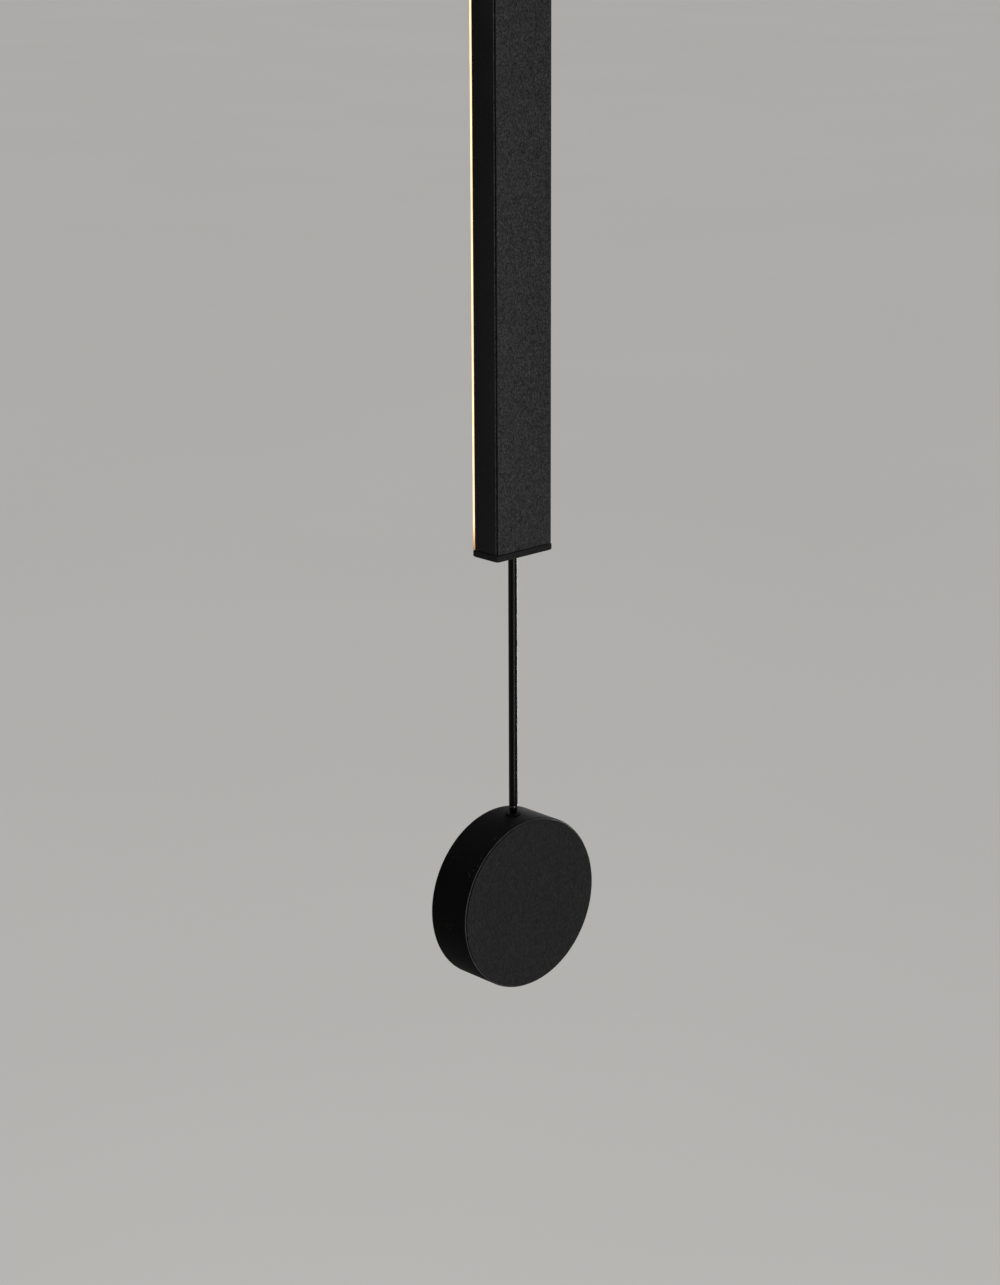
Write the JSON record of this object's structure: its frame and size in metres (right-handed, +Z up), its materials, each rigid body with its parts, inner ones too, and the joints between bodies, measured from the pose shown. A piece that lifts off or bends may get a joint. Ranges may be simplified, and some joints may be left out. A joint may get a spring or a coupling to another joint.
{
  "type": "pendulum wall light",
  "caption": "Slim black wall light with a lit strip along its back, and a round bob that swings on a thin rod below the bar.",
  "frame": {"origin": "on the wall, in the middle of the wall plate's back face", "axes": "+Z up along the bar, +Y into the wall, +X to the right as seen from the room"},
  "size_m": [0.1, 0.0523, 0.8],
  "materials": {
    "sand_black": "black powder coat with a fine sand grain",
    "cover_black": "black powder coat with a fine leathery grain",
    "rod_black": "satin black lacquer on a drawn rod",
    "opal": "opal plastic, lit warm white",
    "led_board": "white solder mask with small LEDs",
    "zinc_steel": "zinc plated",
    "brass": "turned",
    "iron": "cast, machined on its faces",
    "black_nylon": "moulded nylon",
    "black_rubber": "moulded rubber",
    "driver_case": "moulded, fine matte texture",
    "terminal_white": "moulded polyamide",
    "wire_red": "extruded insulation",
    "wire_black": "extruded insulation",
    "wire_brown": "extruded insulation",
    "wire_blue": "extruded insulation"
  },
  "bodies": {
    "housing": {"bar_profile": "sand_black", "bottom_end_cap": "sand_black", "top_end_cap": "sand_black", "canopy": "sand_black", "front_cover": "cover_black", "rear_diffuser": "opal", "led_board": "led_board", "wall_plate": "zinc_steel", "pivot_bracket": "zinc_steel", "pivot_pin": "zinc_steel", "pivot_pin_clip": "zinc_steel", "canopy_screw_top": "zinc_steel", "canopy_screw_bottom": "zinc_steel", "mount_spacer_lower": "zinc_steel", "mount_spacer_upper": "zinc_steel", "mount_screw_lower": "zinc_steel", "mount_screw_upper": "zinc_steel", "mount_nut_lower": "zinc_steel", "mount_nut_upper": "zinc_steel", "driver_screw_lower": "zinc_steel", "driver_screw_upper": "zinc_steel", "pivot_bracket_screw_lower": "zinc_steel", "pivot_bracket_screw_upper": "zinc_steel", "bottom_cap_screw_left": "zinc_steel", "bottom_cap_screw_right": "zinc_steel", "top_cap_screw_left": "zinc_steel", "top_cap_screw_right": "zinc_steel", "terminal_block_screw": "zinc_steel", "rod_guide_bush": "black_nylon", "supply_cable_bush": "black_rubber", "led_lead_grommet": "black_rubber", "led_driver": "driver_case", "terminal_block": "terminal_white", "led_lead_positive": "wire_red", "led_lead_negative": "wire_black", "live_lead": "wire_brown", "neutral_lead": "wire_blue"},
    "pendulum": {"rod_eye": "brass", "pendulum_rod": "rod_black", "rod_tip": "rod_black", "bob_rim": "sand_black", "bob_face": "cover_black", "bob_back": "sand_black", "bob_core": "iron", "bob_bush": "rod_black", "bob_back_screw_1": "zinc_steel", "bob_back_screw_2": "zinc_steel", "bob_back_screw_3": "zinc_steel"}
  },
  "joints": [
    {"name": "pendulum_swing", "type": "hinge", "parent": "housing", "child": "pendulum", "pos_m": [0, -0.03775, -0.412], "axis": [0, 1, 0], "range_deg": [-8, 8]}
  ]
}
